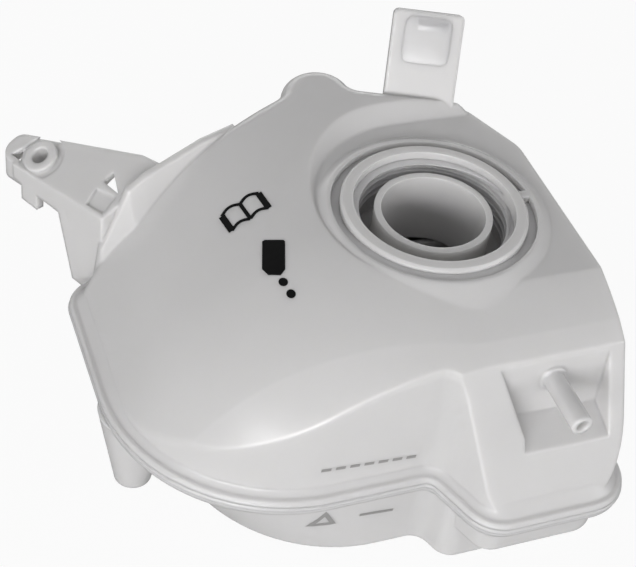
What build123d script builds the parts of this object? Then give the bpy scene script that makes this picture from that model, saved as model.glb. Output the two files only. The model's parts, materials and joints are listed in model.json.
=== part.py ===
import math
import os

from build123d import *

os.makedirs("parts", exist_ok=True)

# Coolant expansion tank in two moulded halves, welded together at a flange.
# Millimetres. Z up, rest face on z = 0, filler neck on the Z axis, vent spigot towards -Y.

# Heights
seam_height = 36.0          # rest face to weld plane
neck_height = 64.0          # weld plane to the top of the filler ring
neck_top = seam_height + neck_height

# Walls and weld flange
wall = 3.0
flange_width = 4.2
flange_thickness = 3.0
flange_bevel = 1.0          # softened outer edge
flange_blend = 2.0          # slope between wall and flange
weld_inset = 0.5            # the weld line lies in a shallow groove round the flange
weld_height = 0.5

# Plan of the side walls, measured from the neck axis
left_reach = 106.6
right_reach = 43.5
front_reach = 57.8
box_depth = 24.4            # how far the box stands out in front of the front wall
box_reach = front_reach + box_depth
jog_back_x = -13.6
jog_front_x = -3.6
right_rear_y = 26.0
rear_right_x = 33.0
rear_right_y = 49.5
rear_apex_x = -20.0
rear_apex_y = 71.0
rear_left_y = 46.0
front_left_radius = 56.0
jog_inner_radius = 9.0
jog_outer_radius = 9.0
front_right_radius = 12.0
right_rear_radius = 14.0
rear_right_radius = 8.0
rear_apex_radius = 12.0
rear_left_radius = 8.0

# Round bump on the rear wall
bump_x = -17.5
bump_out = 5.5              # rear apex to bump centre
bump_radius = 12.6
bump_blend = 5.0

# Domed crown: a sphere at the front left that runs on straight to the right and to the rear
crown_radius = 108.2
crown_x = -8.5
crown_y = -2.2
crown_rise = 2.0            # crown top above the filler ring
crown_z = neck_top + crown_rise - crown_radius
crest_radius = 6.0          # rounding where the crown turns down into the side walls

# Second, wider dome that trims the front of the crown and meets it in a crease
band_radius = 116.7
band_right = 2.9            # its centre from the crown's centre
band_back = 13.5
band_drop = 1.9

# Sloped front of the box, from the flange up to the crest of the front wall
slope_over = 0.9            # slope above the crest where it passes the front wall

# Flat land round the neck
land_drop = 3.5             # ring top to land
land_x = 4.0
land_y = 5.0
land_radius = 41.0
land_end_x = 33.0           # right end of the ridge behind the land
land_slope = 48.0           # degrees of the land's side wall from upright

# Low plinth that lifts the land towards the moat's edge
plinth_drop = 1.2           # ring top to plinth top
plinth_ledge = 1.3          # flat width outside the moat
plinth_slope = 58.0         # degrees of its side from upright

# Filler neck
ring_outer = 31.0
ring_wall = 4.2
lead_in = 5.0               # plain depth above the thread
thread_step = 1.4           # thread bore inside the plain bore
moat_width = 3.1
moat_depth = 5.5
gallery_depth = 19.0        # ring top to the floor between ring and tube
tube_outer = 19.6
tube_wall = 2.3
tube_drop = 3.0             # ring top to tube rim
tube_length = 27.0
bridge_width = 3.0
rim_bevel = 0.8
moat_floor = neck_top - land_drop - moat_depth
gallery_floor = neck_top - gallery_depth

# Pocket in the box front and the vent spigot in it
pocket_left = -1.0
pocket_left_low = 8.0
pocket_left_drop = 14.0     # ring top to where the left side starts to lean in
pocket_right = 38.0
pocket_back_in = 0.8        # back wall behind the front wall
pocket_back_run = 4.0       # how far the back wall leans out by the floor
pocket_drop = 38.5          # ring top to the floor's inner edge
pocket_fall = 20.6          # degrees the floor falls outwards
pocket_back = front_reach - pocket_back_in
pocket_floor = neck_top - pocket_drop
spigot_x = 19.5
spigot_drop = 24.0
spigot_outer = 3.5
spigot_bore = 2.0
spigot_length = 24.0
collar_outer = 4.6
collar_length = 4.0

# Raised web along the rear left wall: distance from the left corner, drop below the ring top
web_top = [(7.5, 42.0), (17.6, 19.5), (24.0, 15.9), (46.9, 9.0), (60.0, 7.5), (64.0, 14.0)]
web_start = 5.0
web_end = 64.0
web_land = 2.5
web_depth = 7.0
web_fall = 12.0             # drop of the web's front face

# Bracket arm: across along the rear wall, out away from it
arm_place = 20.4            # left corner to arm middle
arm_drop = 22.0             # ring top to arm plate
arm_slope = 30.6            # degrees along the rear wall
arm_root = 28.0
arm_root_in = 1.0
arm_shoulder = (10.9, 9.0)
arm_length = 54.0
arm_tip_left = -26.5
arm_tip_right = -16.0
arm_corner = 5.0
arm_depth = 8.4
arm_wall = 2.5
boss_across = -15.9
boss_in = 15.3              # arm tip to boss
boss_outer = 6.4
boss_rise = 1.2
boss_length = 9.0
bolt_hole = 3.2
seat_outer = 8.8
seat_depth = 0.8
tip_window = [(-23.2, 4.8), (-18.4, 6.4), (-22.4, 9.4)]             # across, in from the tip
root_window = [(-5.1, 11.4), (-0.3, 11.9), (-4.1, 3.0)]             # across, out
root_recess = [(-8.6, 11.1), (-14.6, 8.6), (-12.6, 0.6), (-5.6, 2.6)]
recess_depth = 0.8

# Leg under the arm's left edge: a plate that runs down to the flange, with a lug near the tip
leg_place = 8.2             # left corner to leg
leg_skew = 12.0             # degrees from square to the rear wall
leg_thickness = 3.0
leg_skirt_length = 46.0
leg_top_drop = 29.3         # ring top to the plate's upper edge
leg_top_fall = 5.1
leg_skirt_drop = 41.0       # ring top to the skirt's lower edge
leg_width = 21.6
leg_low_width = 14.2
leg_low = 3.5               # below the weld plane
leg_clear = 0.4             # between leg and lower flange
lug_start = 33.0
lug_end = 41.4
lug_depth = 6.6

# Mounting tongue behind the neck
tongue_place = 40.0         # rear apex to tongue middle along the rear right wall
tongue_in = 0.9             # behind the wall line
tongue_rise = 3.0           # ring top to tongue foot
tongue_width = 24.8
tongue_length = 27.3
tongue_root = 16.0
tongue_thickness = 5.0
tongue_lean = 30.0          # degrees back from upright
tongue_round = 2.0
panel_width = 12.4
panel_height = 10.8
panel_drop = 11.0           # tongue top to panel middle
panel_depth = 1.6
window_width = 10.0
window_height = 2.7
window_drop = 4.7
window_across = 1.6

# Lower bowl, deep under the crown and shallow under the box
bowl_step = 11.7            # deep part in front of the front wall, under the box
bowl_left_in = 23.6         # how far the floor stands in from the rim, by side
bowl_front_in = 0.6
bowl_right_in = 3.5
bowl_rear_in = 5.0
bowl_jog_radius = 7.0
bowl_bevel = 2.6
box_bowl_depth = 20.0
box_bowl_in = 0.6           # step in from the plan at the weld plane
box_bowl_back = 13.0        # overlap with the deep part
box_bowl_taper = 4.0

# Locating foot at the left
foot_in = 6.8
foot_y = -7.3
foot_top_radius = 12.5
foot_low_radius = 6.2
foot_bevel = 1.5

# Outlet spigot at the rear
outlet_x = -50.0
outlet_z = 17.0
outlet_outer = 9.5
outlet_bore = 7.0
outlet_length = 20.0
outlet_shoulder = 11.5
outlet_shoulder_out = 2.0   # beyond the rear wall at the weld plane

# Inner baffles
baffle_thickness = 2.2
baffle_x = -45.0
baffle_y = 16.0
baffle_gap = 9.0            # opening left at the floor
baffle_clear = 2.0          # opening left under the filler tube
baffle_top = neck_top - tube_drop - tube_length - baffle_clear

beyond = 30.0               # how far cutting bodies run past what they cut
on_floor = (Align.CENTER, Align.CENTER, Align.MIN)

rear_left_run = Vector(rear_apex_x + left_reach, rear_apex_y - rear_left_y, 0).normalized()
rear_right_run = Vector(rear_right_x - rear_apex_x, rear_right_y - rear_apex_y, 0).normalized()
rear_corner = Vector(-left_reach, rear_left_y, 0)
jog_run = (jog_front_x - jog_back_x) / box_depth


def plan_outline(grow, run_on=0.0):
    rear_fall = (rear_apex_y - rear_right_y) / (rear_right_x - rear_apex_x)
    far = right_reach + run_on
    if run_on:
        right = [(far, -box_reach), (far, rear_right_y - rear_fall * (far - rear_right_x))]
        right_radii = [front_right_radius, rear_right_radius]
    else:
        right = [(far, -box_reach), (far, right_rear_y), (rear_right_x, rear_right_y)]
        right_radii = [front_right_radius, right_rear_radius, rear_right_radius]
    corners = [
        (-left_reach, -front_reach),
        (jog_back_x, -front_reach),
        (jog_front_x, -box_reach),
        *right,
        (rear_apex_x, rear_apex_y),
        (-left_reach, rear_left_y),
    ]
    radii = [
        front_left_radius,
        jog_inner_radius,
        jog_outer_radius,
        *right_radii,
        rear_apex_radius,
        rear_left_radius,
    ]
    bump = Vector(bump_x, rear_apex_y - bump_out, 0)
    with BuildSketch() as plan:
        with BuildLine():
            FilletPolyline(*corners, radius=radii, close=True)
        make_face()
        with Locations(bump):
            Circle(bump_radius)
        corner = [v for v in plan.vertices() if abs((Vector(*v) - bump).length - bump_radius) < 0.01]
        fillet(corner, bump_blend)
        if grow:
            offset(amount=grow)
    return plan.sketch


def dome(centre, radius):
    reach = left_reach + box_reach
    facing_left = Plane(origin=centre, x_dir=(-1, 0, 0), z_dir=(0, 1, 0))
    facing_front = Plane(origin=centre, x_dir=(0, -1, 0), z_dir=(-1, 0, 0))
    with BuildSketch() as quarter:
        Circle(radius)
        with Locations((radius, radius)):
            Rectangle(2 * radius, 2 * radius, mode=Mode.INTERSECT)
    with BuildPart() as solid:
        with BuildSketch(facing_left) as left_disc:
            add(quarter.sketch)
        revolve(left_disc.sketch, axis=Axis(centre, (0, 0, 1)), revolution_arc=90)
        extrude(left_disc.sketch, amount=reach, dir=(0, 1, 0))
        with BuildSketch(facing_front) as front_disc:
            add(quarter.sketch)
        extrude(front_disc.sketch, amount=reach, dir=(1, 0, 0))
        with Locations(centre):
            Box(reach, reach, radius, align=(Align.MIN, Align.MIN, Align.MIN))
    return solid.part


def crown(inset):
    return dome((crown_x, crown_y, crown_z), crown_radius - inset)


def band(inset):
    centre = (crown_x + band_right, crown_y + band_back, crown_z - band_drop)
    return dome(centre, band_radius - inset)


def box_slope():
    crest_z = crown_z + math.sqrt(crown_radius**2 - (front_reach + crown_y) ** 2)
    return math.atan2(box_depth, crest_z + slope_over - seam_height - flange_thickness)


def box_front_y(inset, z):
    lean = box_slope()
    return -box_reach + inset / math.cos(lean) + math.tan(lean) * (z - seam_height - flange_thickness)


def front_wedge(inset):
    low = seam_height - beyond
    top = neck_top + beyond
    out = -box_reach - 2 * beyond
    with BuildPart() as wedge:
        with BuildSketch(Plane.YZ.offset(-left_reach - beyond)):
            with BuildLine():
                Polyline(
                    (box_front_y(inset, low), low),
                    (box_front_y(inset, top), top),
                    (out, top),
                    (out, low),
                    close=True,
                )
            make_face()
        extrude(amount=left_reach + right_reach + 3 * beyond)
    return wedge.part


def land(inset):
    run = 2 * left_reach
    with BuildPart() as hollow:
        with BuildSketch(Plane.XY.offset(neck_top - land_drop - inset)):
            with Locations((land_x, land_y)):
                Circle(land_radius + inset)
                Rectangle(run, 2 * (land_radius + inset), align=(Align.MIN, Align.CENTER))
            with Locations((land_end_x - inset, land_y)):
                Rectangle(run, run, align=(Align.MIN, Align.MIN))
        extrude(amount=land_drop + 4 * crown_rise, taper=-land_slope)
    return hollow.part


def pocket(inset):
    back = -pocket_back + inset
    back_low = back - pocket_back_run
    out = -box_reach - beyond
    top = neck_top + beyond
    floor = pocket_floor - inset
    left = pocket_left - inset
    left_low = pocket_left_low - inset
    right = pocket_right + inset
    with BuildPart() as notch:
        with BuildSketch(Plane.YZ.offset(left - beyond)) as side:
            with BuildLine():
                Polyline(
                    (back, top),
                    (back_low, floor),
                    (out, floor + math.tan(math.radians(pocket_fall)) * (out - back_low)),
                    (out, top),
                    close=True,
                )
            make_face()
        extrude(side.sketch, amount=right - left + 2 * beyond)
        with BuildSketch(Plane.XZ.offset(-out)) as front:
            with BuildLine():
                Polyline(
                    (left, top),
                    (left, neck_top - pocket_left_drop),
                    (left_low, floor),
                    (left_low, seam_height),
                    (right, seam_height),
                    (right, top),
                    close=True,
                )
            make_face()
        extrude(front.sketch, amount=box_reach + beyond, dir=(0, 1, 0), mode=Mode.INTERSECT)
    return notch.part


def upper_form(inset, crest):
    base = seam_height - beyond
    height = neck_top + beyond - base
    outline = plan_outline(-inset, beyond)
    rim = outline.wire()
    with BuildPart() as form:
        with BuildSketch(Plane.XY.offset(base)) as run_on_plan:
            add(outline)
        extrude(run_on_plan.sketch, amount=height)
        add(crown(inset), mode=Mode.INTERSECT)
        add(front_wedge(inset), mode=Mode.SUBTRACT)
        if crest:
            edges = []
            for edge in form.edges():
                mid = edge.position_at(0.5)
                upright = abs(edge.tangent_at(0.5).Z) > 0.999
                if upright or mid.Z < base + 1.0 or mid.X > right_reach + beyond - inset - 1.0:
                    continue
                on_wall = rim.distance_to(Vertex(mid.X, mid.Y, 0)) < 0.02
                on_slope = abs(mid.Y - box_front_y(inset, mid.Z)) < 0.02
                if on_wall != on_slope:
                    edges.append(edge)
            fillet(edges, crest)
        add(band(inset), mode=Mode.INTERSECT)
        with BuildSketch(Plane.XY.offset(seam_height)) as plan:
            add(plan_outline(-inset))
        extrude(plan.sketch, amount=height, mode=Mode.INTERSECT)
        add(land(inset), mode=Mode.SUBTRACT)
        add(pocket(inset), mode=Mode.SUBTRACT)
    return form.part


def flange(sign):
    up = Vector(0, 0, sign)
    body = flange_thickness - weld_height - flange_bevel
    with BuildPart() as rim:
        with BuildSketch(Plane.XY.offset(seam_height)) as weld:
            add(plan_outline(flange_width - weld_inset))
        extrude(weld.sketch, amount=flange_thickness, dir=up)
        with BuildSketch(Plane.XY.offset(seam_height + sign * weld_height)) as edge:
            add(plan_outline(flange_width))
        extrude(edge.sketch, amount=body, dir=up)
        with BuildSketch(Plane.XY.offset(seam_height + sign * (weld_height + body))) as bevel:
            add(plan_outline(flange_width))
        extrude(bevel.sketch, amount=flange_bevel, dir=up, taper=45.0)
    return rim.part


def flange_slope():
    with BuildPart() as slope:
        with BuildSketch(Plane.XY.offset(seam_height + flange_thickness)):
            add(plan_outline(flange_blend))
        extrude(amount=flange_blend + wall, taper=45.0)
    return slope.part


def web_slab(near, far, fall):
    side = Plane(origin=rear_corner, x_dir=rear_left_run, z_dir=(rear_left_run.Y, -rear_left_run.X, 0))
    low = seam_height + wall
    with BuildPart() as slab:
        for depth, lower in [(near, 0.0), (far, fall)]:
            tops = [(s, neck_top - drop - lower) for s, drop in web_top]
            with BuildSketch(side.offset(depth)):
                with BuildLine():
                    Polyline((web_start, low), *tops, (web_end, low), close=True)
                make_face()
        loft(ruled=True)
    return slab.part


def arm_frame():
    slope = math.radians(arm_slope)
    up = Vector(0, 0, 1)
    return Plane(
        origin=rear_corner + rear_left_run * arm_place + up * (neck_top - arm_drop),
        x_dir=rear_left_run * math.cos(slope) + up * math.sin(slope),
        z_dir=up * math.cos(slope) - rear_left_run * math.sin(slope),
    )


def arm_outline(shrink):
    half = arm_root / 2
    with BuildSketch() as face:
        with BuildLine():
            FilletPolyline(
                (-half, -arm_root_in),
                (half, -arm_root_in),
                arm_shoulder,
                (arm_tip_right, arm_length),
                (arm_tip_left, arm_length),
                radius=[0.5, 0.5, arm_corner, arm_corner, arm_corner],
                close=True,
            )
        make_face()
        if shrink:
            offset(amount=-shrink)
    return face.sketch


def bracket_arm():
    top = arm_frame()
    down = Vector(0, 0, -1)
    into = -top.z_dir
    boss_place = (boss_across, arm_length - boss_in)
    with BuildPart() as arm:
        with BuildSketch(top) as plate:
            add(arm_outline(0.0))
        extrude(plate.sketch, amount=arm_depth, dir=down)
        with BuildSketch(top.offset(-arm_wall)) as inside:
            add(arm_outline(arm_wall))
        extrude(inside.sketch, amount=arm_depth, dir=down, mode=Mode.SUBTRACT)
        with BuildSketch(top) as seat:
            with Locations(boss_place):
                Circle(seat_outer)
        extrude(seat.sketch, amount=seat_depth, dir=into, mode=Mode.SUBTRACT)
        with BuildSketch(top.offset(boss_rise)) as boss:
            with Locations(boss_place):
                Circle(boss_outer)
        extrude(boss.sketch, amount=boss_length, dir=into)
        with BuildSketch(top.offset(boss_rise)) as bolt:
            with Locations(boss_place):
                Circle(bolt_hole)
        extrude(bolt.sketch, amount=boss_length, dir=into, mode=Mode.SUBTRACT)
        with BuildSketch(top) as windows:
            with BuildLine():
                Polyline(*[(u, arm_length - v) for u, v in tip_window], close=True)
            make_face()
            with BuildLine():
                Polyline(*root_window, close=True)
            make_face()
        extrude(windows.sketch, amount=2 * arm_wall, dir=into, mode=Mode.SUBTRACT)
        with BuildSketch(top) as recess:
            with BuildLine():
                Polyline(*root_recess, close=True)
            make_face()
        extrude(recess.sketch, amount=recess_depth, dir=into, mode=Mode.SUBTRACT)
    return arm.part


def arm_leg():
    out = Vector(-rear_left_run.Y, rear_left_run.X, 0).rotate(Axis.Z, leg_skew)
    side = Plane(origin=rear_corner + rear_left_run * leg_place, x_dir=out, z_dir=(out.Y, -out.X, 0))
    top = neck_top - leg_top_drop
    skirt = neck_top - leg_skirt_drop
    foot = seam_height - leg_low
    inner = flange_width / math.cos(math.radians(leg_skew)) + leg_clear
    with BuildPart() as leg:
        with BuildSketch(side) as face:
            with BuildLine():
                Polyline(
                    (-arm_root_in, top),
                    (leg_skirt_length, top - leg_top_fall),
                    (leg_skirt_length, skirt),
                    (lug_end, skirt),
                    (lug_end, skirt - lug_depth),
                    (lug_start, skirt - lug_depth),
                    (lug_start, skirt),
                    (leg_width, skirt),
                    (leg_low_width, foot),
                    (inner, foot),
                    (inner, seam_height + flange_thickness),
                    (-arm_root_in, seam_height + flange_thickness),
                    close=True,
                )
            make_face()
        extrude(face.sketch, amount=leg_thickness, dir=side.z_dir)
    return leg.part


def tongue():
    lean = math.radians(tongue_lean)
    back = Vector(-rear_right_run.Y, rear_right_run.X, 0)
    up = back * math.sin(lean) + Vector(0, 0, math.cos(lean))
    front = rear_right_run.cross(up)
    foot = Vector(rear_apex_x, rear_apex_y, neck_top + tongue_rise)
    foot += rear_right_run * tongue_place - back * tongue_in
    face = Plane(origin=foot, x_dir=rear_right_run, z_dir=front)
    half = tongue_width / 2
    with BuildPart() as tab:
        with BuildSketch(face) as slab:
            with BuildLine():
                FilletPolyline(
                    (-half, -tongue_root),
                    (half, -tongue_root),
                    (half, tongue_length),
                    (-half, tongue_length),
                    radius=[0.5, 0.5, tongue_round, tongue_round],
                    close=True,
                )
            make_face()
        extrude(slab.sketch, amount=tongue_thickness, dir=-front)
        with BuildSketch(face) as panel:
            with Locations((0, tongue_length - panel_drop)):
                Rectangle(panel_width, panel_height)
        extrude(panel.sketch, amount=panel_depth, dir=-front, mode=Mode.SUBTRACT)
        with BuildSketch(face) as window:
            with Locations((window_across, tongue_length - window_drop)):
                Rectangle(window_width, window_height)
        extrude(window.sketch, amount=tongue_thickness, dir=-front, mode=Mode.SUBTRACT)
    return tab.part


def neck():
    moat_outer = ring_outer + moat_width
    ring_inner = ring_outer - ring_wall
    tube_low = neck_top - tube_drop - tube_length
    with BuildPart() as body:
        with Locations((0, 0, moat_floor - wall)):
            Cylinder(moat_outer + wall, wall + moat_depth / 2, align=on_floor)
        with Locations((0, 0, moat_floor)):
            Cylinder(moat_outer, moat_depth, align=on_floor, mode=Mode.SUBTRACT)
        with Locations((0, 0, gallery_floor - wall)):
            Cylinder(ring_outer, gallery_depth + wall, align=on_floor)
        chamfer(body.edges().group_by(Axis.Z)[-1], rim_bevel)
        with Locations((0, 0, neck_top - lead_in)):
            Cylinder(ring_inner, lead_in, align=on_floor, mode=Mode.SUBTRACT)
        with Locations((0, 0, gallery_floor)):
            Cylinder(ring_inner - thread_step, gallery_depth, align=on_floor, mode=Mode.SUBTRACT)
        with Locations((0, 0, tube_low)):
            Cylinder(tube_outer, tube_length, align=on_floor)
        with Locations((0, 0, tube_low)):
            Cylinder(tube_outer - tube_wall, tube_length, align=on_floor, mode=Mode.SUBTRACT)
        with Locations((ring_outer - rim_bevel, 0, moat_floor)):
            Box(
                moat_width + 2 * rim_bevel,
                bridge_width,
                moat_depth + land_drop - plinth_drop,
                align=(Align.MIN, Align.CENTER, Align.MIN),
            )
    return body.part


def plinth():
    height = moat_depth + land_drop - plinth_drop
    top_radius = ring_outer + moat_width + plinth_ledge
    low_radius = top_radius + height * math.tan(math.radians(plinth_slope))
    with BuildPart() as step:
        with Locations((0, 0, moat_floor)):
            Cone(low_radius, top_radius, height, align=on_floor)
        with BuildSketch(Plane.XY.offset(moat_floor)) as plan:
            add(plan_outline(0.0))
        extrude(plan.sketch, amount=height, mode=Mode.INTERSECT)
    return step.part


def moat_cut():
    with BuildPart() as cut:
        with Locations((0, 0, moat_floor)):
            Cylinder(ring_outer + moat_width, moat_depth + beyond, align=on_floor)
    return cut.part


def rod(plane, place, radius, length):
    with BuildPart() as solid:
        with BuildSketch(plane):
            with Locations(place):
                Circle(radius)
        extrude(amount=length)
    return solid.part


def baffles(cavity, low, high):
    tall = high - low
    with BuildPart() as plates:
        with Locations((baffle_x, 0, low)):
            Box(baffle_thickness, 2 * left_reach, tall, align=on_floor)
        with Locations((0, baffle_y, low)):
            Box(3 * left_reach, baffle_thickness, tall, align=on_floor)
        add(cavity, mode=Mode.INTERSECT)
    return plates.part


def inset_corners(corners, insets):
    lines = []
    for (a, b), inset in zip(zip(corners, corners[1:] + corners[:1]), insets):
        along = (Vector(*b) - Vector(*a)).normalized()
        lines.append((Vector(*a) + Vector(-along.Y, along.X) * inset, along))
    points = []
    for (p, d), (q, e) in zip(lines[-1:] + lines[:-1], lines):
        gap = q - p
        t = (gap.X * e.Y - gap.Y * e.X) / (d.X * e.Y - d.Y * e.X)
        points.append((p.X + d.X * t, p.Y + d.Y * t))
    return points


def bowl_outline(grow, share):
    front = -front_reach - bowl_step
    corners = [
        (-left_reach, -front_reach),
        (jog_back_x, -front_reach),
        (jog_back_x + jog_run * bowl_step, front),
        (right_reach, front),
        (right_reach, right_rear_y),
        (rear_right_x, rear_right_y),
        (rear_apex_x, rear_apex_y),
        (-left_reach, rear_left_y),
    ]
    insets = [bowl_front_in] * 3 + [bowl_right_in] * 2 + [bowl_rear_in] * 2 + [bowl_left_in]
    radii = [
        front_left_radius,
        bowl_jog_radius,
        bowl_jog_radius,
        front_right_radius,
        right_rear_radius,
        rear_right_radius,
        rear_apex_radius,
        rear_left_radius,
    ]
    with BuildSketch() as plan:
        with BuildLine():
            FilletPolyline(*inset_corners(corners, [i * share for i in insets]), radius=radii, close=True)
        make_face()
        if grow:
            offset(amount=grow)
    return plan.sketch


def box_bowl_outline(grow):
    left = jog_front_x + box_bowl_in
    front = -box_reach + box_bowl_in
    right = right_reach - box_bowl_in
    back = -front_reach + box_bowl_back
    with BuildSketch() as plan:
        with BuildLine():
            FilletPolyline(
                (left - jog_run * (back - front), back),
                (left, front),
                (right, front),
                (right, back),
                radius=[jog_inner_radius, jog_outer_radius, front_right_radius, jog_inner_radius],
                close=True,
            )
        make_face()
        if grow:
            offset(amount=grow)
    return plan.sketch


def bowl(inset, bevel):
    levels = [(seam_height, 0.0), (inset, bevel or 0.0)]
    if bevel:
        levels.insert(1, (bevel, 0.0))
    with BuildPart() as deep:
        for z, trim in levels:
            with BuildSketch(Plane.XY.offset(z)):
                add(bowl_outline(-inset - trim, 1.0 - z / seam_height))
        loft(ruled=True)
    with BuildPart() as shallow:
        with BuildSketch(Plane.XY.offset(seam_height)) as rim:
            add(box_bowl_outline(-inset))
        extrude(rim.sketch, amount=box_bowl_depth - inset, dir=(0, 0, -1), taper=box_bowl_taper)
        if bevel:
            chamfer(shallow.edges().group_by(Axis.Z)[0], bevel)
    return deep.part + shallow.part


def foot():
    with BuildPart() as peg:
        with Locations((foot_in - left_reach, foot_y, 0)):
            Cone(foot_low_radius, foot_top_radius, seam_height, align=on_floor)
        chamfer(peg.edges().group_by(Axis.Z)[0], foot_bevel)
    return peg.part


# Vent spigot, seated in the pocket's back wall
spigot_place = (spigot_x, neck_top - spigot_drop)
spigot_back = Plane.XZ.offset(pocket_back - wall / 2)
vent_tube = rod(spigot_back, spigot_place, spigot_outer, wall / 2 + spigot_length)
vent_collar = rod(spigot_back, spigot_place, collar_outer, wall / 2 + collar_length)
vent_bore = rod(Plane.XZ.offset(pocket_back - 2 * wall), spigot_place, spigot_bore, spigot_length + beyond)

# Outlet spigot with a shoulder at the rear wall
rear_slope = (rear_apex_y - rear_left_y) / (rear_apex_x + left_reach)
outlet_wall_y = rear_apex_y + rear_slope * (outlet_x - rear_apex_x)
outlet_shoulder_y = outlet_wall_y + outlet_shoulder_out
outlet_tip_y = outlet_shoulder_y + outlet_length
outlet_place = (outlet_x, outlet_z)
outlet_end = Plane.XZ.offset(-outlet_tip_y)
outlet_tube = rod(outlet_end, outlet_place, outlet_outer, outlet_length + beyond / 2)
shoulder = rod(Plane.XZ.offset(-outlet_shoulder_y), outlet_place, outlet_shoulder, beyond / 2)
outlet_hole = rod(outlet_end, outlet_place, outlet_bore, outlet_length + beyond)

upper_outside = upper_form(0.0, crest_radius)
upper_cavity = upper_form(wall, None)
upper_flange = flange(1)
upper_slope = flange_slope()
rear_web = web_slab(0.0, web_land, 0.0) + web_slab(web_land, web_depth, web_fall)
neck_plinth = plinth()
neck_hollow = moat_cut()
neck_body = neck()
arm_body = bracket_arm()
leg_body = arm_leg()
tongue_body = tongue()
upper_baffles = baffles(upper_cavity, seam_height, baffle_top)

with BuildPart() as upper_shell:
    add(upper_outside)
    add(neck_plinth)
    add(upper_flange)
    add(upper_slope)
    add(rear_web)
    add(upper_cavity, mode=Mode.SUBTRACT)
    add(neck_hollow, mode=Mode.SUBTRACT)
    add(neck_body)
    add(vent_tube)
    add(vent_collar)
    add(vent_bore, mode=Mode.SUBTRACT)
    add(arm_body)
    add(leg_body)
    add(tongue_body)
    add(upper_baffles)
upper_shell.part.label = "upper_shell"
export_step(upper_shell.part, "parts/upper_shell.step")

lower_outside = bowl(0.0, bowl_bevel)
lower_cavity = bowl(wall, None)
lower_flange = flange(-1)
lower_foot = foot()
lower_baffles = baffles(lower_cavity, wall + baffle_gap, seam_height)

with BuildPart() as lower_shell:
    add(lower_outside)
    add(lower_flange)
    add(lower_foot)
    add(outlet_tube)
    add(shoulder)
    add(lower_cavity, mode=Mode.SUBTRACT)
    add(lower_baffles)
    add(outlet_hole, mode=Mode.SUBTRACT)
lower_shell.part.label = "lower_shell"
export_step(lower_shell.part, "parts/lower_shell.step")
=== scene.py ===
import json
import math

import bmesh
import bpy
from mathutils import Matrix, Vector
from mathutils.bvhtree import BVHTree


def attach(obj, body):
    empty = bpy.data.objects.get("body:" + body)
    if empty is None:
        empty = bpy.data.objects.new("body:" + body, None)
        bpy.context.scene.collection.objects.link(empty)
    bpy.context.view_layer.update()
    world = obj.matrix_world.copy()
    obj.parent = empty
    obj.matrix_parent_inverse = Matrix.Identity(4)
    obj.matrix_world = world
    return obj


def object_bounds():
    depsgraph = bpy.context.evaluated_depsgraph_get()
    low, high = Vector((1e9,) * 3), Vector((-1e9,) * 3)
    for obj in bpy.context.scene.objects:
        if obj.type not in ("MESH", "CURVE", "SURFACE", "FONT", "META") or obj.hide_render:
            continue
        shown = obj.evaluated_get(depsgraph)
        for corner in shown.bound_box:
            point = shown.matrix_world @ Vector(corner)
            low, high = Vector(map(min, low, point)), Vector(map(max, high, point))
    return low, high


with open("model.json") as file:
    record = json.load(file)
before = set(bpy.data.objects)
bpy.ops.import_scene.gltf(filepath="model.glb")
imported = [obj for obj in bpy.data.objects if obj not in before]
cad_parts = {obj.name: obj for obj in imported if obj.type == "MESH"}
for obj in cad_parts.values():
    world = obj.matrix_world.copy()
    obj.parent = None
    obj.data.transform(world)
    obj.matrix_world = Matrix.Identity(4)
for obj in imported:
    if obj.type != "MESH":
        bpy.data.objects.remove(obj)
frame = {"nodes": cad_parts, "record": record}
cadLow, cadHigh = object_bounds()

mm = 0.001
upperShell = frame["nodes"]["upper_shell"]
lowerShell = frame["nodes"]["lower_shell"]
mounts = {mount["name"]: mount for mount in frame["record"]["mounts"]}


def linear(hexColour):
    values = [int(hexColour[i:i + 2], 16) / 255 for i in (1, 3, 5)]
    return [v / 12.92 if v <= 0.04045 else ((v + 0.055) / 1.055) ** 2.4 for v in values] + [1.0]


# Sockets and links go by name, or by number where a node has two of one name
def addNode(tree, kind, settings=None, sockets=None, links=None):
    node = tree.nodes.new(kind)
    for name, value in (settings or {}).items():
        setattr(node, name, value)
    for socket, value in (sockets or {}).items():
        node.inputs[socket].default_value = value
    for socket, source in (links or {}).items():
        tree.links.new(source, node.inputs[socket])
    return node


def newMaterial(name):
    material = bpy.data.materials.new(name)
    material.use_nodes = True
    material.node_tree.nodes.clear()
    return material, material.node_tree


# Natural polypropylene, injection moulded: no pigment, so light soaks a little way into it and comes
# back milky. The tool was polished, which leaves a smooth skin with long clean highlights on the
# crests.
polypropyleneLook = {
    "colour": "#D4D3D3",
    "flowColour": "#CCCBCB",        # thicker flow streaks, a touch darker
    "flowSize": 45.0,               # mm
    "grain": 0.8,                   # mm, real skin grain is 0.1 mm, drawn coarser so that it shows
    "grainHeight": 0.002,           # mm
    "waveSize": 22.0,               # mm, slow sink waves over the ribs
    "waveHeight": 0.05,             # mm
    "edgeRound": 1.8,               # mm, softens the moulded edges
    "neckRound": 0.5,               # mm, the neck's rims are crisper
    "neckReach": (33.5, 36.0),      # mm from the neck's axis, crisp to soft
    "roughness": (0.22, 0.28),
    "ior": 1.49,
    "gloss": 0.8,
    "soak": 5.0,                    # mm
    "soakShare": 0.85,
    "soakTint": (1.0, 1.0, 0.95),   # red, green and blue, blue goes in a little less
}


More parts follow.
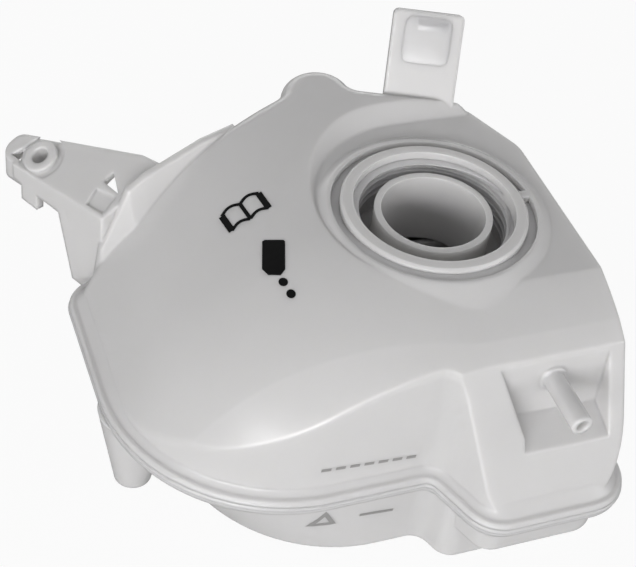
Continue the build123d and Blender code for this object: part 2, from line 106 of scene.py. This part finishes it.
def naturalPolypropyleneMoulded():
    look = polypropyleneLook
    material, tree = newMaterial("naturalPolypropyleneMoulded")
    place = addNode(tree, "ShaderNodeTexCoord").outputs["Object"]
    flow = addNode(tree, "ShaderNodeTexNoise",
                   sockets={"Scale": 1000 / look["flowSize"], "Detail": 2.0, "Roughness": 0.45},
                   links={"Vector": place})
    colour = addNode(tree, "ShaderNodeMix", {"data_type": "RGBA"},
                     sockets={6: linear(look["colour"]), 7: linear(look["flowColour"])},
                     links={"Factor": flow.outputs["Fac"]})
    grain = addNode(tree, "ShaderNodeTexNoise",
                    sockets={"Scale": 1000 / look["grain"], "Detail": 3.0, "Roughness": 0.6},
                    links={"Vector": place})
    waves = addNode(tree, "ShaderNodeTexNoise",
                    sockets={"Scale": 1000 / look["waveSize"], "Detail": 1.0},
                    links={"Vector": place})
    rough = addNode(tree, "ShaderNodeMapRange",
                    sockets={"To Min": look["roughness"][0], "To Max": look["roughness"][1]},
                    links={"Value": grain.outputs["Fac"]})
    # Edges are rounded less near the neck's axis, which is the frame's own
    level = addNode(tree, "ShaderNodeVectorMath", {"operation": "MULTIPLY"},
                    sockets={1: (1, 1, 0)}, links={0: place})
    reach = addNode(tree, "ShaderNodeVectorMath", {"operation": "LENGTH"},
                    links={0: level.outputs["Vector"]})
    soften = addNode(tree, "ShaderNodeMapRange",
                     sockets={"From Min": look["neckReach"][0] * mm,
                              "From Max": look["neckReach"][1] * mm,
                              "To Min": look["neckRound"] * mm,
                              "To Max": look["edgeRound"] * mm},
                     links={"Value": reach.outputs["Value"]})
    rounded = addNode(tree, "ShaderNodeBevel", {"samples": 8},
                      links={"Radius": soften.outputs["Result"]})
    slow = addNode(tree, "ShaderNodeBump",
                   sockets={"Strength": 1.0, "Distance": look["waveHeight"] * mm},
                   links={"Height": waves.outputs["Fac"], "Normal": rounded.outputs["Normal"]})
    fine = addNode(tree, "ShaderNodeBump",
                   sockets={"Strength": 1.0, "Distance": look["grainHeight"] * mm},
                   links={"Height": grain.outputs["Fac"], "Normal": slow.outputs["Normal"]})
    shader = addNode(tree, "ShaderNodeBsdfPrincipled", {"subsurface_method": "RANDOM_WALK"},
                     sockets={"IOR": look["ior"], "Specular IOR Level": look["gloss"],
                              "Subsurface Weight": look["soakShare"],
                              "Subsurface Radius": look["soakTint"],
                              "Subsurface Scale": look["soak"] * mm},
                     links={"Base Color": colour.outputs[2], "Roughness": rough.outputs["Result"],
                            "Normal": fine.outputs["Normal"]})
    addNode(tree, "ShaderNodeOutputMaterial", links={"Surface": shader.outputs["BSDF"]})
    return material


# Pad-printed black ink: a thin cured film, matt, with slightly uneven cover
inkLook = {
    "colour": "#040404",
    "paleColour": "#0C0C0D",
    "patch": 1.6,           # mm
    "detail": 2.0,
    "roughness": 0.7,
    "gloss": 0.15,
}

# Laser-marked polypropylene: the beam foams and chars the skin to a dry, slightly broken mid grey
laserLook = {
    "colour": "#868584",
    "paleColour": "#9A9998",
    "patch": 1.2,           # mm
    "detail": 3.0,
    "roughness": 0.6,
    "gloss": 0.5,
}


def markFinish(name, look):
    material, tree = newMaterial(name)
    place = addNode(tree, "ShaderNodeTexCoord").outputs["Object"]
    cover = addNode(tree, "ShaderNodeTexNoise",
                    sockets={"Scale": 1000 / look["patch"], "Detail": look["detail"]},
                    links={"Vector": place})
    colour = addNode(tree, "ShaderNodeMix", {"data_type": "RGBA"},
                     sockets={6: linear(look["colour"]), 7: linear(look["paleColour"])},
                     links={"Factor": cover.outputs["Fac"]})
    shader = addNode(tree, "ShaderNodeBsdfPrincipled",
                     sockets={"Roughness": look["roughness"], "Specular IOR Level": look["gloss"]},
                     links={"Base Color": colour.outputs[2]})
    addNode(tree, "ShaderNodeOutputMaterial", links={"Surface": shader.outputs["BSDF"]})
    return material


plastic = naturalPolypropyleneMoulded()
ink = markFinish("padPrintedInk", inkLook)
laserMark = markFinish("laserMarkedPolypropylene", laserLook)

for shell in (upperShell, lowerShell):
    shell.data.materials.clear()
    shell.data.materials.append(plastic)
print("shells dressed")


def meshPiece(name, work, material):
    mesh = bpy.data.meshes.new(name)
    bmesh.ops.recalc_face_normals(work, faces=work.faces)
    work.to_mesh(mesh)
    work.free()
    mesh.materials.append(material)
    piece = bpy.data.objects.new(name, mesh)
    bpy.context.scene.collection.objects.link(piece)
    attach(piece, "root")
    return piece


def plasticPiece(name, work, smooth=False):
    piece = meshPiece(name, work, plastic)
    for face in piece.data.polygons:
        face.use_smooth = smooth


# Corners of a section that stands on the neck's axis, turned to an angle. Each is a radius and a
# height in mm.
def neckSection(work, angle, section):
    axis = mounts["filler_tube"]["pos_m"]
    x, y = math.cos(angle), math.sin(angle)
    return [work.verts.new((axis[0] + r * mm * x, axis[1] + r * mm * y, z * mm)) for r, z in section]


def joinRings(work, rings, closed=False):
    for a, b in zip(rings, rings[1:] + rings[:1] if closed else rings[1:]):
        for i in range(len(a)):
            j = (i + 1) % len(a)
            work.faces.new((a[i], a[j], b[j], b[i]))


# Internal thread of the filler ring, moulded in one with it
threadSize = {
    "wall": 27.2,       # mm, root, inside the ring's wall
    "depth": 2.7,       # mm
    "root": 1.6,        # mm, width at the root
    "crest": 0.5,       # mm, width at the crest
    "pitch": 2.7,       # mm
    "turns": 4.2,
    "top": 97.0,        # mm above the rest face
    "fade": 0.18,       # turns over which each end runs out
    "stub": 0.05,       # share of the depth that is left at the very end
    "steps": 72,        # per turn
}


def neckThread():
    size = threadSize
    wall, root, crest = size["wall"], size["root"] / 2, size["crest"] / 2
    work = bmesh.new()
    rings = []
    for i in range(int(size["turns"] * size["steps"]) + 1):
        turn = i / size["steps"]
        runOut = min(turn, size["turns"] - turn) / size["fade"]
        tip = wall - size["depth"] * min(1.0, size["stub"] + runOut)
        z = size["top"] - size["pitch"] * turn
        section = [(wall, z + root), (tip, z + crest), (tip, z - crest), (wall, z - root)]
        rings.append(neckSection(work, 2 * math.pi * turn, section))
    joinRings(work, rings)
    work.faces.new(rings[0])
    work.faces.new(rings[-1][::-1])
    plasticPiece("neckThread", work)


# Floor of the moat round the ring: shallow at the back and sides, and it runs out at the front
moatSize = {
    "inner": 30.8,              # mm, just inside the ring's outer wall
    "outer": 34.4,              # mm, just inside the plinth
    "low": 92.0,                # mm above the rest face
    "deep": 96.2,               # mm, floor at the back and sides
    "flush": 98.3,              # mm, floor at the front
    "front": (-0.43, -0.90),
    "runOut": (35.0, 85.0),     # degrees from the front, flush to deep
    "steps": 96,
}


def moatFloor():
    size = moatSize
    inner, outer, low = size["inner"], size["outer"], size["low"]
    start, end = size["runOut"]
    front = Vector(size["front"]).normalized()
    work = bmesh.new()
    rings = []
    for i in range(size["steps"]):
        angle = 2 * math.pi * i / size["steps"]
        facing = front.dot(Vector((math.cos(angle), math.sin(angle))))
        away = math.degrees(math.acos(max(-1.0, min(1.0, facing))))
        share = max(0.0, min(1.0, (away - start) / (end - start)))
        share = share * share * (3 - 2 * share)     # eases in and out
        top = size["flush"] + (size["deep"] - size["flush"]) * share
        rings.append(neckSection(work, angle, [(inner, low), (inner, top), (outer, top), (outer, low)]))
    joinRings(work, rings, closed=True)
    plasticPiece("moatFloor", work)


# Low crowned pad on the tongue's face, which holds it tight in its slot. Sizes run in the tongue's own
# axes, from its middle: across, up and out of its front face. The pad's rim dives under that face.
padSize = {
    "middle": (0.2, 5.4),           # mm
    "half": (8.6, 8.5),             # mm, from the middle to where it meets the face
    "rise": 0.3,                    # mm
    "crown": 2.5,                   # power of the crown, higher is flatter in the middle
    "outline": 6,                   # power of the outline, 2 is an ellipse, higher is squarer
    "across": (-10.6, 11.0),        # mm, with the hidden rim
    "up": (-5.4, 14.9),             # mm, with the hidden rim
    "cells": 22,
    "face": 2.5,                    # mm
    "seat": 0.85,                   # mm, floor that the pad sits on
    "root": ((-3.5, 6.7), (9.2, 12.1), (-2.46, 2.0)),       # mm, its root through the tongue
}


def tonguePad():
    size = padSize
    cells, power = size["cells"], size["outline"]
    (middleX, middleY), (halfX, halfY) = size["middle"], size["half"]
    place = Vector(mounts["tongue"]["pos_m"])
    up = -Vector(mounts["tongue"]["axis"])
    across = Vector((up.y, -up.x, 0)).normalized()
    out = across.cross(up)
    work = bmesh.new()

    def corner(x, y, z):
        return work.verts.new(place + (across * x + up * y + out * z) * mm)

    def height(x, y):
        far = (abs(x - middleX) / halfX) ** power + (abs(y - middleY) / halfY) ** power
        return size["face"] + size["rise"] * (1 - far ** (size["crown"] / power))

    xs, ys = ([low + (high - low) * i / cells for i in range(cells + 1)]
              for low, high in (size["across"], size["up"]))
    tops = [[corner(x, y, height(x, y)) for x in xs] for y in ys]
    lows = [[corner(x, y, size["seat"]) for x in xs] for y in ys]
    for sheet in (tops, lows):
        for a, b in zip(sheet, sheet[1:]):
            for i in range(cells):
                work.faces.new((a[i], a[i + 1], b[i + 1], b[i]))
    for j in (0, cells):
        for i in range(cells):
            work.faces.new((tops[j][i], tops[j][i + 1], lows[j][i + 1], lows[j][i]))
            work.faces.new((tops[i][j], tops[i + 1][j], lows[i + 1][j], lows[i][j]))
    (left, right), (bottom, top), depths = size["root"]
    outline = ((left, bottom), (right, bottom), (right, top), (left, top))
    ends = [[corner(x, y, z) for x, y in outline] for z in depths]
    for end in ends:
        work.faces.new(end)
    joinRings(work, ends)
    plasticPiece("tonguePad", work, smooth=True)


neckThread()
moatFloor()
tonguePad()
print("neck thread, moat floor and tongue pad set")


# Weld flash: the plastic that the hot-plate weld pressed out, a rounded bead that fills the groove
# between the two flanges all the way round
flashSize = {
    "edge": 36.5,       # mm above the rest face, low edge of the upper flange's rim
    "seam": 36.0,       # mm above the rest face
    "inset": 0.75,      # mm from the rim to the middle of the bead
    "radius": 1.2,      # mm
    "sides": 16,
    "merge": 0.001,     # mm, corners of the shell this close are one
    "slack": 0.01,      # mm, corners this near to a height lie at it
}


# Closed loops of a shell's edges that lie at one height
def loopsAt(shell, height):
    work = bmesh.new()
    work.from_mesh(shell.data)
    bmesh.ops.remove_doubles(work, verts=work.verts, dist=flashSize["merge"] * mm)
    level = [v for v in work.verts if abs(v.co.z - height) < flashSize["slack"] * mm]
    inLevel = set(level)
    flatFaces = {f for f in work.faces if all(v in inLevel for v in f.verts)}
    near = {v: [] for v in level}
    for edge in work.edges:
        a, b = edge.verts
        if a in near and b in near and sum(f in flatFaces for f in edge.link_faces) == 1:
            near[a].append(b)
            near[b].append(a)
    loops, seen = [], set()
    for first in level:
        if first in seen or len(near[first]) != 2:
            continue
        loop, before, now = [], None, first
        while now is not None and now not in seen:
            seen.add(now)
            loop.append(now.co.copy())
            onward = [v for v in near[now] if v is not before and v not in seen]
            before, now = now, onward[0] if onward else None
        loops.append(loop)
    work.free()
    return loops


def weldFlash():
    size = flashSize
    loops = loopsAt(upperShell, size["edge"] * mm)
    rim = max(loops, key=lambda loop: max(p.x for p in loop) - min(p.x for p in loop))
    turning = sum(a.cross(b).z for a, b in zip(rim, rim[1:] + rim[:1]))
    up = Vector((0, 0, 1))
    angles = [2 * math.pi * i / size["sides"] for i in range(size["sides"])]
    work = bmesh.new()
    rings = []
    for i, point in enumerate(rim):
        along = (rim[(i + 1) % len(rim)] - rim[i - 1]).normalized()
        outward = along.cross(up) if turning > 0 else up.cross(along)
        middle = point - outward * size["inset"] * mm
        middle.z = size["seam"] * mm
        spokes = [outward * math.cos(t) + up * math.sin(t) for t in angles]
        rings.append([work.verts.new(middle + spoke * size["radius"] * mm) for spoke in spokes])
    joinRings(work, rings, closed=True)
    plasticPiece("weldFlash", work, smooth=True)


weldFlash()
print("weld flash laid round")


# Marks are drawn flat, laid on the shell by rays and given the thickness of their film
film = {
    "above": 0.06,      # mm that a mark stands off the shell
    "below": 0.25,      # mm that it goes into the shell, so that no edge lifts
    "cell": 1.2,        # mm between the points that are laid on
    "far": 500.0,       # mm, where the rays start
    "miter": 0.4,       # keeps a line's sharp corners from running out
}


def shellSurface(shell):
    work = bmesh.new()
    work.from_mesh(shell.data)
    tree = BVHTree.FromBMesh(work)
    work.free()
    return tree


def layOn(surface, point, towards):
    hit, normal, _, _ = surface.ray_cast(point - towards * (film["far"] * mm), towards)
    if normal.dot(towards) > 0:
        normal = -normal
    return hit + normal * (film["above"] * mm), hit - normal * (film["below"] * mm)


class Stencil:
    def __init__(self, surface, origin, right, up):
        self.surface = surface
        self.origin = Vector(origin) * mm
        self.right = Vector(right).normalized()
        self.up = Vector(up).normalized()
        self.towards = -self.right.cross(self.up).normalized()
        self.work = bmesh.new()

    def pair(self, u, v):
        point = self.origin + self.right * (u * mm) + self.up * (v * mm)
        top, low = layOn(self.surface, point, self.towards)
        return self.work.verts.new(top), self.work.verts.new(low)

    # Rows of points, closed to a ring or with an edge at both ends
    def grid(self, rows, closed):
        laid = [[self.pair(u, v) for u, v in row] for row in rows]
        for a, b in zip(laid, laid[1:] + laid[:1] if closed else laid[1:]):
            for i in range(len(a) - 1):
                self.work.faces.new((a[i][0], a[i + 1][0], b[i + 1][0], b[i][0]))
                self.work.faces.new((a[i][1], b[i][1], b[i + 1][1], a[i + 1][1]))
            for i in (0, len(a) - 1):
                self.work.faces.new((a[i][0], b[i][0], b[i][1], a[i][1]))
        if not closed:
            for row in (laid[0], laid[-1]):
                for i in range(len(row) - 1):
                    self.work.faces.new((row[i][0], row[i + 1][0], row[i + 1][1], row[i][1]))

    # A line of even width along the points
    def stroke(self, points, width, closed=False):
        path = [Vector(p) for p in points]
        if closed:
            path.append(path[0])
        fine = []
        for a, b in zip(path, path[1:]):
            pieces = max(1, round((b - a).length / film["cell"]))
            fine += [a.lerp(b, i / pieces) for i in range(pieces)]
        if not closed:
            fine.append(path[-1])
        rows = []
        for i, p in enumerate(fine):
            before = fine[i - 1] if i or closed else p
            after = fine[(i + 1) % len(fine)] if i + 1 < len(fine) or closed else p
            into = (p - before).normalized() if (p - before).length else (after - p).normalized()
            out = (after - p).normalized() if (after - p).length else into
            side = (into + out).normalized().orthogonal()
            reach = width / 2 / max(film["miter"], side.dot(into.orthogonal()))
            rows.append([tuple(p - side * reach), tuple(p), tuple(p + side * reach)])
        self.grid(rows, closed)

    # A filled patch drawn as rows between a left and a right edge
    def patch(self, rows, columns):
        self.grid([[(left + (right - left) * i / columns, v) for i in range(columns + 1)]
                   for v, left, right in rows], False)

    def piece(self, name, material):
        meshPiece(name, self.work, material)


upperSurface = shellSurface(upperShell)
lowerSurface = shellSurface(lowerShell)


# Row of dashes on the upper front wall: the fill level
levelDashes = {
    "start": (-53.9, 49.2),     # mm, X and Z
    "end": (-21.4, 46.8),       # mm
    "count": 7,
    "gapShare": 0.32,
    "width": 1.25,              # mm
}


def fillLevelDashes():
    size = levelDashes
    stencil = Stencil(upperSurface, (0, 0, 0), (1, 0, 0), (0, 0, 1))
    start, end = Vector(size["start"]), Vector(size["end"])
    step = (end - start) / (size["count"] - size["gapShare"])
    for i in range(size["count"]):
        a = start + step * i
        stencil.stroke([a, a + step * (1 - size["gapShare"])], size["width"])
    stencil.piece("fillLevelDashes", laserMark)


# Outlined triangle and a short bar on the lower front wall: the low level
lowMark = {
    "triangle": ((-53.3, 18.6), (-46.1, 19.3), (-49.4, 25.2)),      # mm, X and Z
    "line": 1.5,                                                    # mm
    "bar": ((-37.0, 21.0), (-25.0, 19.9)),                          # mm
    "barWidth": 1.2,                                                # mm
}


def lowLevelMark():
    stencil = Stencil(lowerSurface, (0, 0, 0), (1, 0, 0), (0, 0, 1))
    stencil.stroke(lowMark["triangle"], lowMark["line"], closed=True)
    stencil.stroke(lowMark["bar"], lowMark["barWidth"])
    stencil.piece("lowLevelMark", laserMark)


# Open booklet: two pages with bowed tops, drawn in lines
bookletSize = {
    "centre": (-57.6, 20.9, 120.0),     # mm
    "right": (1.0, 0.12, 0),
    "page": 6.3,                        # mm
    "height": 8.2,                      # mm
    "bow": 1.5,                         # mm
    "shift": 0.6,                       # mm down, since the bow adds to the top
    "line": 1.2,                        # mm
    "cover": 2.0,                       # mm
    "points": 9,
}


def bookletMark():
    size = bookletSize
    right = Vector(size["right"])
    stencil = Stencil(upperSurface, size["centre"], right, Vector((-right.y, right.x, 0)))
    high, low = (half - size["shift"] for half in (size["height"] / 2, -size["height"] / 2))
    shares = [i / size["points"] for i in range(size["points"] + 1)]
    for page in (-size["page"], size["page"]):
        for level in (high, low):
            bowed = [(page * t, level + size["bow"] * math.sin(math.pi * t)) for t in shares]
            stencil.stroke(bowed, size["line"])
        stencil.stroke([(page, low), (page, high)], size["cover"])
    stencil.stroke([(0, low), (0, high)], size["line"])
    stencil.piece("bookletMark", ink)


# Filled bottle, mouth down, with two drops below it
bottleSize = {
    "centre": (-55.7, -3.3, 120.0),     # mm
    "right": (0.81, -0.59, 0),
    "up": (0.30, 0.95, 0),
    "width": 7.4,                       # mm
    "height": 13.8,                     # mm
    "chamfer": (0.8, 0.5),              # mm off the base's left and right corner
    "chamferHeight": 0.6,               # mm
    "shoulder": 2.2,                    # mm
    "mouth": 3.4,                       # mm
    "lip": 0.6,                         # mm more at the mouth's right
    "rows": 9,
    "columns": 6,
    "drops": ((3.1, -9.3), (5.6, -13.2)),       # mm from the centre
    "drop": 1.5,                        # mm, radius
    "dropEnd": 0.02,                    # mm, half the width that closes a drop's ends
    "dropRows": 8,
    "dropColumns": 4,
}


def bottleMark():
    size = bottleSize
    stencil = Stencil(upperSurface, size["centre"], size["right"], size["up"])
    half, side, mouth = size["height"] / 2, size["width"] / 2, size["mouth"] / 2
    wallTop = half - size["chamferHeight"]
    wall = size["height"] - size["chamferHeight"] - size["shoulder"]
    rows = [(half, size["chamfer"][0] - side, side - size["chamfer"][1])]
    rows += [(wallTop - wall * i / size["rows"], -side, side) for i in range(size["rows"] + 1)]
    rows.append((-half, -mouth, mouth + size["lip"]))
    stencil.patch(rows, size["columns"])
    turns = [math.pi * i / size["dropRows"] for i in range(size["dropRows"] + 1)]
    lobes = [(size["drop"] * math.cos(t), size["drop"] * math.sin(t) + size["dropEnd"]) for t in turns]
    for u, v in size["drops"]:
        stencil.patch([(v + h, u - w, u + w) for h, w in lobes], size["dropColumns"])
    stencil.piece("bottleMark", ink)


fillLevelDashes()
lowLevelMark()
bookletMark()
bottleMark()
print("marks laid on")


# Camera at the photograph's place; the axes are its own right, up and back
viewer = {
    "place": (-193.4, -323.6, 411.5),       # mm
    "right": (0.93605, -0.33331, 0.11279),
    "up": (0.15491, 0.67815, 0.71841),
    "back": (-0.31594, -0.65500, 0.68641),
    "lens": 84.9,                           # mm
    "sensor": 36.0,                         # mm wide
    "clip": (0.01, 20.0),                   # m
}


def photoCamera():
    data = bpy.data.cameras.new("photoCamera")
    data.sensor_width = viewer["sensor"]
    data.lens = viewer["lens"]
    data.clip_start, data.clip_end = viewer["clip"]
    camera = bpy.data.objects.new("photoCamera", data)
    turn = Matrix((viewer["right"], viewer["up"], viewer["back"])).transposed().to_4x4()
    camera.matrix_world = Matrix.Translation(Vector(viewer["place"]) * mm) @ turn
    bpy.context.scene.collection.objects.link(camera)
    bpy.context.scene.camera = camera


# White paper under the tank: matt and even. It shows as white to the eye and still takes the soft
# shadow.
floorLook = {
    "colour": "#BFBFBF",
    "seenColour": "#FFFFFF",
    "glow": 0.94,           # share of the seen colour, the rest takes the shadow
    "size": 6.0,            # m
    "gap": 0.2,             # mm under the tank
}


def paperFloor():
    look = floorLook
    material, tree = newMaterial("whitePaper")
    rays = addNode(tree, "ShaderNodeLightPath")
    share = addNode(tree, "ShaderNodeMath", {"operation": "MULTIPLY"}, sockets={1: look["glow"]},
                    links={0: rays.outputs["Is Camera Ray"]})
    paper = addNode(tree, "ShaderNodeBsdfDiffuse", sockets={"Color": linear(look["colour"])})
    white = addNode(tree, "ShaderNodeEmission",
                    sockets={"Color": linear(look["seenColour"]), "Strength": 1.0})
    mix = addNode(tree, "ShaderNodeMixShader",
                  links={0: share.outputs[0], 1: paper.outputs[0], 2: white.outputs[0]})
    addNode(tree, "ShaderNodeOutputMaterial", links={"Surface": mix.outputs[0]})
    half = look["size"] / 2
    corners = [(-half, -half, 0), (half, -half, 0), (half, half, 0), (-half, half, 0)]
    mesh = bpy.data.meshes.new("paperFloor")
    mesh.from_pydata(corners, [], [(0, 1, 2, 3)])
    mesh.materials.append(material)
    floor = bpy.data.objects.new("paperFloor", mesh)
    floor.location.z = cadLow.z - look["gap"] * mm
    bpy.context.scene.collection.objects.link(floor)


# Soft studio light: a broad low panel at the left, a strip nearer the front that draws the highlight
# along the crest, a weak panel from the right and a weak low one behind. Places and sizes are in m.
lamps = {
    "mainPanel": {"place": (-0.80, -0.87, 0.38), "wide": 1.0, "tall": 0.50, "power": 9.3},
    "crestStrip": {"place": (-0.36, -1.13, 0.46), "wide": 0.8, "tall": 0.15, "power": 2.2},
    "rightPanel": {"place": (1.00, -0.80, 0.55), "wide": 0.8, "tall": 0.8, "power": 3.6},
    "rearPanel": {"place": (0.25, 1.15, 0.38), "wide": 1.0, "tall": 0.50, "power": 2.4},
}


def studioLight():
    middle = (cadLow + cadHigh) / 2
    for name, lamp in lamps.items():
        data = bpy.data.lights.new(name, "AREA")
        data.shape = "RECTANGLE"
        data.size, data.size_y = lamp["wide"], lamp["tall"]
        data.energy = lamp["power"]
        panel = bpy.data.objects.new(name, data)
        panel.location = lamp["place"]
        panel.rotation_euler = (middle - panel.location).to_track_quat("-Z", "Y").to_euler()
        bpy.context.scene.collection.objects.link(panel)


# Room round the panels, paler at eye level than overhead
roomLook = {"colour": "#FFFFFF", "low": 0.54, "overhead": 0.30}


def room():
    look = roomLook
    world = bpy.data.worlds.new("room")
    bpy.context.scene.world = world
    world.use_nodes = True
    tree = world.node_tree
    tree.nodes.clear()
    rays = addNode(tree, "ShaderNodeLightPath")
    place = addNode(tree, "ShaderNodeTexCoord").outputs["Generated"]
    way = addNode(tree, "ShaderNodeSeparateXYZ", links={"Vector": place})
    level = addNode(tree, "ShaderNodeMapRange",
                    sockets={"To Min": look["low"], "To Max": look["overhead"]},
                    links={"Value": way.outputs["Z"]})
    soft = addNode(tree, "ShaderNodeBackground", sockets={"Color": linear(look["colour"])},
                   links={"Strength": level.outputs["Result"]})
    white = addNode(tree, "ShaderNodeBackground",
                    sockets={"Color": linear(look["colour"]), "Strength": 1.0})
    mix = addNode(tree, "ShaderNodeMixShader",
                  links={0: rays.outputs["Is Camera Ray"], 1: soft.outputs[0], 2: white.outputs[0]})
    addNode(tree, "ShaderNodeOutputWorld", links={"Surface": mix.outputs[0]})


photoCamera()
paperFloor()
studioLight()
room()
bpy.context.scene.view_settings.view_transform = "Standard"
print("camera, floor and light set")
